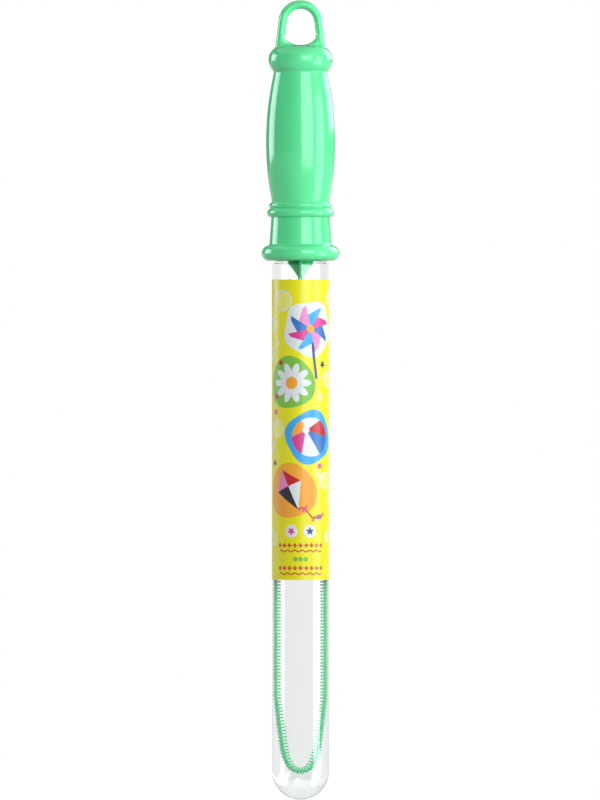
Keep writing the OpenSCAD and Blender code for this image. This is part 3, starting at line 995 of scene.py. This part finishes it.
# %% Clear material above the liquid
sheen_end_z = shoulder_z - 1.3
cap_side_z = shoulder_z - 0.7
thin_pet = clear_plastic("blow_moulded_clear_pet_thin_wall", "#FDFEFE", 1.02, 0.02, 9.0, 0.04)
slope = add_node(thin_pet, "ShaderNodeLayerWeight", {"Blend": 0.5})
glance = add_node(thin_pet, "ShaderNodeMapRange", {"From Min": 0.24, "From Max": 0.32},
                  {"Value": slope.outputs["Facing"]})
# Partly painted shade: the wall is tinted greyer at glancing angles, both for the longer path through plastic
# there and in place of the darker surroundings that a full wall would mirror at its edges. The coat's sheen
# fades out at the same angles, which leaves the edges to this tint.
edge_tint_and_shade = add_node(thin_pet, "ShaderNodeMix", {"A": linear("#FDFEFE"), "B": linear("#F3F5F4")},
                 {"Factor": glance}, data_type="RGBA")
place = add_node(thin_pet, "ShaderNodeTexCoord")
height = add_node(thin_pet, "ShaderNodeSeparateXYZ", None, {"Vector": place.outputs["Object"]})
# Painted shade: the coat's sheen is faded out by height on the top of the wall just under the flange, where
# the flange keeps the softbox from being mirrored.
flange_shade_mask = add_node(thin_pet, "ShaderNodeMapRange",
                        {"From Min": sheen_end_z * MM, "From Max": cap_side_z * MM,
                         "To Min": 1.0, "To Max": 0.0},
                        {"Value": height.outputs["Z"]})
sheen = add_node(thin_pet, "ShaderNodeMapRange", {"To Max": 0.0}, {"Value": glance, "To Min": flange_shade_mask})
thin_wall = thin_pet.node_tree.nodes["Principled BSDF"]
thin_wall.inputs["Coat IOR"].default_value = 1.57
thin_wall.inputs["Coat Roughness"].default_value = 0.02
thin_pet.node_tree.links.new(edge_tint_and_shade.outputs["Result"], thin_wall.inputs["Base Color"])
thin_pet.node_tree.links.new(sheen.outputs["Result"], thin_wall.inputs["Coat Weight"])
print(thin_pet.name, "has", len(thin_pet.node_tree.nodes), "nodes")

# %% Tube
fill_z = 225.0
wet_margin = 2
rim_edge = 0.2
inner_step = tube_bore_r - neck_bore_r
inner_shoulder_z = shoulder_z - tube_wall
tube_outline = [
    (0, 0),
    *arc(0, tube_r, tube_r, -90, 0, 48)[1:],
    *line((tube_r, tube_r), (tube_r, shoulder_z - shoulder_step), 40),
    *arc(neck_r, shoulder_z - shoulder_step, shoulder_step, 0, 90, 12)[1:],
    *line((neck_r, shoulder_z), (neck_r, rim_z - rim_edge), 70),
    (neck_r - rim_edge, rim_z), (neck_bore_r + rim_edge, rim_z), (neck_bore_r, rim_z - rim_edge),
    (neck_bore_r, inner_shoulder_z),
    *arc(neck_bore_r, inner_shoulder_z - inner_step, inner_step, 90, 0, 12)[1:],
    *line((tube_bore_r, inner_shoulder_z - inner_step), (tube_bore_r, tube_r), 40),
    *arc(0, tube_r, tube_bore_r, 0, -90, 48)[1:-1],
    (0, tube_wall),
]


def neck_thread(r, z, angle):
    """How far the neck swells along its thread."""
    if abs(r - neck_r) > on_wall:
        return 0
    return thread_depth * thread_height(z, angle, thread_z, neck_turns)


clear_tube = piece_from("clear_tube_moulding", *lathe(tube_outline, 256, swell=neck_thread),
                        "tube", "clear_tube", clear_pet)
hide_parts("tube")
clear_tube.data.materials.append(thin_pet)
for face in clear_tube.data.polygons:
    if face.center.z > (fill_z + wet_margin) * MM:
        face.material_index = 1

# %% [markdown]
# The bubble solution is soapy water that fills the tube nearly to the neck and climbs a little up the wall.
# It could be left out, but it is what turns the tube into a lens and makes the loop look wider than it is.
# It overlaps the wall a little, so that no film of air shows between them.

# %% Bubble solution
wet_overlap = 0.03
wet_r = tube_bore_r + wet_overlap
climb = 1.2
meniscus = ((0.25, 0.75), (0.7, 0.35), (1.6, 0.08), (3, 0))
solution_outline = [
    (0, tube_r - wet_r),
    *arc(0, tube_r, wet_r, -90, 0, 40)[1:],
    *line((wet_r, tube_r), (wet_r, fill_z + climb), 30),
    *[(wet_r - inset, fill_z + rise) for inset, rise in meniscus],
    (0, fill_z),
]
piece_from("bubble_solution", *lathe(solution_outline, 192), "tube", "clear_tube", solution)

# %% [markdown]
# ## Label
# The label is a strip of polypropylene film, printed yellow and glossy, wrapped round the tube and lapped
# over itself at the back. It is a thin sleeve with a small step where the end laps.

# %% Label film


def printed_film(name, deep, pale, gloss):
    """Ink on film: a screen of dots, drawn at 0.6 mm so that it shows, and a faint unevenness of gloss."""
    material, place = new_material(name)
    dots = add_node(material, "ShaderNodeTexVoronoi", {"Scale": per_mm(0.6), "Randomness": 0.25},
                    {"Vector": place})
    cloud = add_node(material, "ShaderNodeTexNoise", {"Scale": per_mm(18), "Detail": 2.0},
                     {"Vector": place})
    screen = add_node(material, "ShaderNodeMath", None, {0: dots, 1: cloud}, operation="MULTIPLY")
    tone = add_node(material, "ShaderNodeMix", {"A": linear(pale), "B": linear(deep)},
                    {"Factor": screen}, data_type="RGBA")
    sheen = add_node(material, "ShaderNodeMapRange",
                     {"From Min": 0.3, "From Max": 0.7, "To Min": gloss - 0.04, "To Max": gloss + 0.04},
                     {"Value": cloud})
    shader = add_node(material, "ShaderNodeBsdfPrincipled", {"IOR": 1.49},
                      {"Base Color": tone, "Roughness": sheen})
    add_node(material, "ShaderNodeOutputMaterial", None, {"Surface": shader})
    return material


film_gloss = 0.3
# Label: a warm yellow with a soft gloss, a little deeper in the gaps of the printing screen
label_yellow = printed_film("printed_polypropylene_film_yellow", "#E6D800", "#F0E400", film_gloss)
film_t = 0.12
lap_step = 0.08
lap_start = radians(141)
lap_end = radians(166)


def film_lap(r, z, angle):
    """How far the film stands out where its end laps over its start."""
    return lap_step if r > label_r - on_wall and lap_start < angle < lap_end else 0.0


label_outline = [
    (label_r - film_t, label_low.z), (label_r, label_low.z),
    *line((label_r, label_low.z), (label_r, label_high.z), 30),
    (label_r - film_t, label_high.z),
]
label = piece_from("label_film", *lathe(label_outline, 256, closed=True, swell=film_lap),
                   "tube", "printed_film", label_yellow)
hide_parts("label")

# %% [markdown]
# ## Print on the label
# Such labels carry cheerful pictures in flat inks. Here they are summer toys: a pinwheel, a daisy, a
# beach ball and a kite among soap bubbles. A press lays one colour after another, so each ink is one thin
# skin of patches on the film. Real ink is 0.002 mm thick. It is drawn at 0.01 mm, with 0.02 mm from layer
# to layer, so that the layers don't flicker through each other.

# %% Laying ink on the film
ink_t = 0.01
ink_step = 0.02
inks = {}


def lay(ink, layer, shapes):
    """Lays outlines of (u, v) points on the film in one ink: millimetres round it and up from its foot."""
    sheet = bmesh.new()
    for outline in shapes:
        sheet.faces.new([sheet.verts.new((u, v, 0)) for u, v in outline])
    bmesh.ops.remove_doubles(sheet, verts=sheet.verts, dist=0.001)
    bmesh.ops.triangulate(sheet, faces=sheet.faces)
    across = [p.co.x for p in sheet.verts]
    for cut in range(ceil(min(across)), ceil(max(across))):
        everything = sheet.verts[:] + sheet.edges[:] + sheet.faces[:]
        bmesh.ops.bisect_plane(sheet, geom=everything, plane_co=(cut, 0, 0), plane_no=(1, 0, 0))
    sheet.verts.ensure_lookup_table()
    sheet.normal_update()
    bmesh.ops.reverse_faces(sheet, faces=[face for face in sheet.faces if face.normal.z < 0])
    sheet.verts.index_update()
    points, faces = inks.setdefault(ink, ([], []))
    top = len(points)
    under = top + len(sheet.verts)
    for reach in (label_r + ink_step * layer, label_r + ink_step * layer - ink_t):
        for p in sheet.verts:
            a = p.co.x / label_r
            points.append((reach * sin(a), -reach * cos(a), label_low.z + p.co.y))
    for face in sheet.faces:
        ring = [p.index for p in face.verts]
        faces.append(tuple(top + k for k in ring))
        faces.append(tuple(under + k for k in reversed(ring)))
        for a, b in zip(ring, ring[1:] + ring[:1]):
            if sheet.edges.get((sheet.verts[a], sheet.verts[b])).is_boundary:
                faces.append((top + b, top + a, under + a, under + b))
    sheet.free()


print("fourth layer of ink at radius", round(label_r + 4 * ink_step, 3))

# %% Outlines


def blob(u, v, r, waves=0, depth=0.0, count=64):
    """A round outline, or one with a few soft waves."""
    reach = [r * (1 + depth * cos(waves * a + 1)) for a in around(count)]
    return [(u + d * cos(a), v + d * sin(a)) for d, a in zip(reach, around(count))]


def placed(outline, u, v, angle, size=1.0):
    """Turns an outline by an angle in degrees, sizes it and moves it to a place."""
    c = size * cos(radians(angle))
    s = size * sin(radians(angle))
    return [(u + x * c - y * s, v + x * s + y * c) for x, y in outline]


def ribbon(path, width):
    """Quads of a strip of one width along a path."""
    edges = []
    for i, (x, y) in enumerate(path):
        x0, y0 = path[max(i - 1, 0)]
        x1, y1 = path[min(i + 1, len(path) - 1)]
        half = width / 2 / hypot(x1 - x0, y1 - y0)
        out_x = (y1 - y0) * half
        out_y = (x0 - x1) * half
        edges.append(((x + out_x, y + out_y), (x - out_x, y - out_y)))
    return [[a[0], b[0], b[1], a[1]] for a, b in zip(edges, edges[1:])]


star = [blob(0, 0, 1 if i % 2 else 0.45, count=10)[i] for i in range(10)]
print("star has", len(star), "points")

# %% Pinwheel and daisy


def pinwheel(u, v, r):
    """Eight folded blades on a stick, over a soft white patch."""
    lay("white", 1, [blob(u, v, 1.16 * r, 5, 0.06)])
    lay("navy", 2, ribbon([(u + 0.5, v), (u + 1.5, v - 1.1 * r), (u + 3, v - 2.1 * r)], 1.3))
    blade = [(0, 0), (1, 0), (0.9, 0.16), (0.42, 0.42)]
    for k in range(8):
        lay(("rose", "sky", "pink", "blue")[k % 4], 3, [placed(blade, u, v, 45 * k + 12, r)])
    lay("orange", 4, [blob(u, v, 0.17 * r, count=24)])


def daisy(u, v, r):
    """Ten white petals round an orange heart, over a green patch."""
    lay("green", 1, [blob(u, v, r, 3, 0.05)])
    petal = [(0.47 + 0.31 * x, 0.14 * y) for x, y in blob(0, 0, 1, count=32)]
    for k in range(10):
        lay("white", 2, [placed(petal, u + 0.06 * r, v, 36 * k, r)])
    lay("orange", 3, [blob(u + 0.06 * r, v, 0.24 * r, count=32)])
    lay("red", 2, [blob(u - 0.66 * r, v - 0.52 * r, 0.12 * r, count=24),
                   blob(u - 0.42 * r, v + 0.78 * r, 0.1 * r)])


pinwheel(4.8, 116, 11)
pinwheel(39, 68, 10)
daisy(-5, 91, 12)
daisy(38, 118, 10.4)
print("patches so far:", {ink: len(faces) for ink, (points, faces) in inks.items()})

# %% Beach ball and kite


def beach_ball(u, v, r):
    """A ball of six coloured sectors over a sky-blue patch."""
    lay("sky", 1, [blob(u, v, r, 4, 0.06)])
    hub_u = u - 0.2 * r
    hub_v = v + 0.26 * r
    rim = blob(u, v, 0.74 * r, count=60)
    rim.append(rim[0])
    for k, ink in enumerate(("red", "white", "orange", "rose", "white", "blue")):
        lay(ink, 2, [[(hub_u, hub_v)] + rim[10 * k:10 * k + 11]])
    lay("white", 3, [blob(hub_u, hub_v, 0.13 * r, count=24)])


def kite(u, v, r):
    """A four-coloured kite with a tail of bows, over an orange patch."""
    lay("orange", 1, [blob(u, v, r, 3, 0.05)])
    cross = (0, 0.2)
    corners = [(0, 0.86), (0.52, 0.2), (0, -0.74), (-0.52, 0.2)]
    for k, ink in enumerate(("red", "white", "black", "pink")):
        panel = [cross, corners[(k + 1) % 4], corners[k]]
        lay(ink, 2, [placed(panel, u, v, 24, r)])
    tail = [(u + r * (0.3 + 0.12 * i), v - r * (0.66 + 0.045 * i - 0.12 * sin(i))) for i in range(9)]
    lay("red", 3, ribbon(tail, 0.7))
    bow = [(0, 0), (1.5, 0.8), (1.5, -0.8)]
    for k in (2, 5, 8):
        lay(("white", "sky", "rose")[k % 3], 4, [placed(bow, *tail[k], 50), placed(bow, *tail[k], 230)])


beach_ball(5, 66, 12.2)
beach_ball(36, 36, 11)
kite(-4.8, 41, 12.6)
kite(35, 93, 11)
print("inks so far:", ", ".join(inks))

# %% Bubbles, stars and borders


def soap_bubble(u, v, r):
    """A pale disc with a white edge and a glint."""
    lay("cream", 1, [blob(u, v, r, count=40)])
    edge = blob(u, v, 0.92 * r, count=40)
    lay("white", 2, ribbon(edge + edge[:1], 0.14 * r))
    lay("white", 2, ribbon(blob(u, v, 0.66 * r, count=40)[13:21], 0.16 * r))


def border(v, half_width):
    """A row of lozenges with dots between them, over a wavy line."""
    waves = [(half_width * (i / 30 - 1), v - 2.6 + 0.4 * sin(i * 0.63)) for i in range(61)]
    lay("rust", 1, ribbon(waves, 0.6))
    lozenge = [(-0.8, 0), (0, -1.3), (0.8, 0), (0, 1.3)]
    for k in range(9):
        x = half_width * (k / 4 - 1)
        lay("rust", 1, [placed(lozenge, x, v, 0)])
        if k < 8:
            lay("orange", 1, [blob(x + half_width / 8, v, 0.55, count=16)])


bubbles = ((-9, 129, 5), (-15.5, 118, 3.6), (-12.5, 109, 1.9), (15.5, 93, 3.8), (10, 84.5, 1.8),
           (19, 130, 4.6), (-12.6, 70, 4.4), (-17, 62, 3), (13.5, 46, 4), (18, 38, 2.6), (-17, 104, 3),
           (-15.5, 19, 3.6), (15.5, 20, 2.8), (8.5, 49, 1.5), (26, 108, 3.4), (48, 101, 3), (25.5, 76, 3.6),
           (49, 49, 3), (27, 18, 3.2), (44, 16, 4))
for u, v, r in bubbles:
    soap_bubble(u, v, r)
for u, ink, mark in ((-4.4, "rose", 90), (4.4, "navy", 54)):
    lay("white", 1, [blob(u, 22.5, 3, count=40)])
    lay(ink, 2, [placed(star, u, 22.5, mark, 2.1)])
border(16, 10.5)
border(5.5, 10.5)
lay("green", 1, [blob(x, 9.6, 1.1, count=24) for x in (-2.4, 0, 2.4)])
for u, v, ink in ((11.5, 99.5, "navy"), (-13.5, 77.5, "rose"), (9.5, 52.5, "rose"), (-14.5, 54, "navy"),
                  (9, 29, "blue")):
    lay(ink, 1, [placed(star, u, v, 90, 2)])
print("inks used:", ", ".join(inks))

# %% Inks
# Inks: flat and a little glossy, and slightly deeper in the gaps of the printing screen
ink_shades = {
    "white": ("#D2D2CE", "#EBEBE9"), "cream": ("#E2DA5C", "#F7EF74"), "pink": ("#DA72A8", "#F28CC0"),
    "rose": ("#C62A7C", "#E03C94"), "sky": ("#2494D0", "#39ACE8"), "blue": ("#205EA8", "#3074C0"),
    "navy": ("#203462", "#2E4676"), "green": ("#6AAA28", "#80C23C"), "orange": ("#E4921E", "#FCAA31"),
    "red": ("#B00C14", "#CC1821"), "rust": ("#AA3812", "#C44822"), "black": ("#101418", "#1F232B"),
}
for ink, (points, faces) in inks.items():
    material = printed_film("printing_ink_" + ink, *ink_shades[ink], film_gloss)
    patch = piece_from("print_" + ink, points, faces, "tube", "printed_film", material)
    patch.data.normals_split_custom_set_from_vertices([Vector((x, y, 0)).normalized() for x, y, z in points])

# %% [markdown]
# ## Foam washer
# A disc of closed-cell polyethylene foam seals the cap on the rim. It is only seen when the cap is off.
# The CAD ring has the right shape, so it stays and gets a foam finish of small round cells.

# %% Foam washer
# Foam: matt and off-white, with small round pores
foam, place = new_material("closed_cell_polyethylene_foam")
cells = add_node(foam, "ShaderNodeTexVoronoi", {"Scale": per_mm(0.7)}, {"Vector": place})
tone = add_node(foam, "ShaderNodeMix", {"A": linear("#E4E4DC"), "B": linear("#F6F6F1")},
                {"Factor": cells}, data_type="RGBA")
pores = add_node(foam, "ShaderNodeBump", {"Strength": 0.5, "Distance": 0.1 * MM}, {"Height": cells})
matt = add_node(foam, "ShaderNodeBsdfPrincipled", {"Roughness": 0.75, "IOR": 1.5},
                {"Base Color": tone, "Normal": pores})
add_node(foam, "ShaderNodeOutputMaterial", None, {"Surface": matt})
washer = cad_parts["seal_washer"]
washer.data.materials.clear()
washer.data.materials.append(foam)
print("washer wears", foam.name)
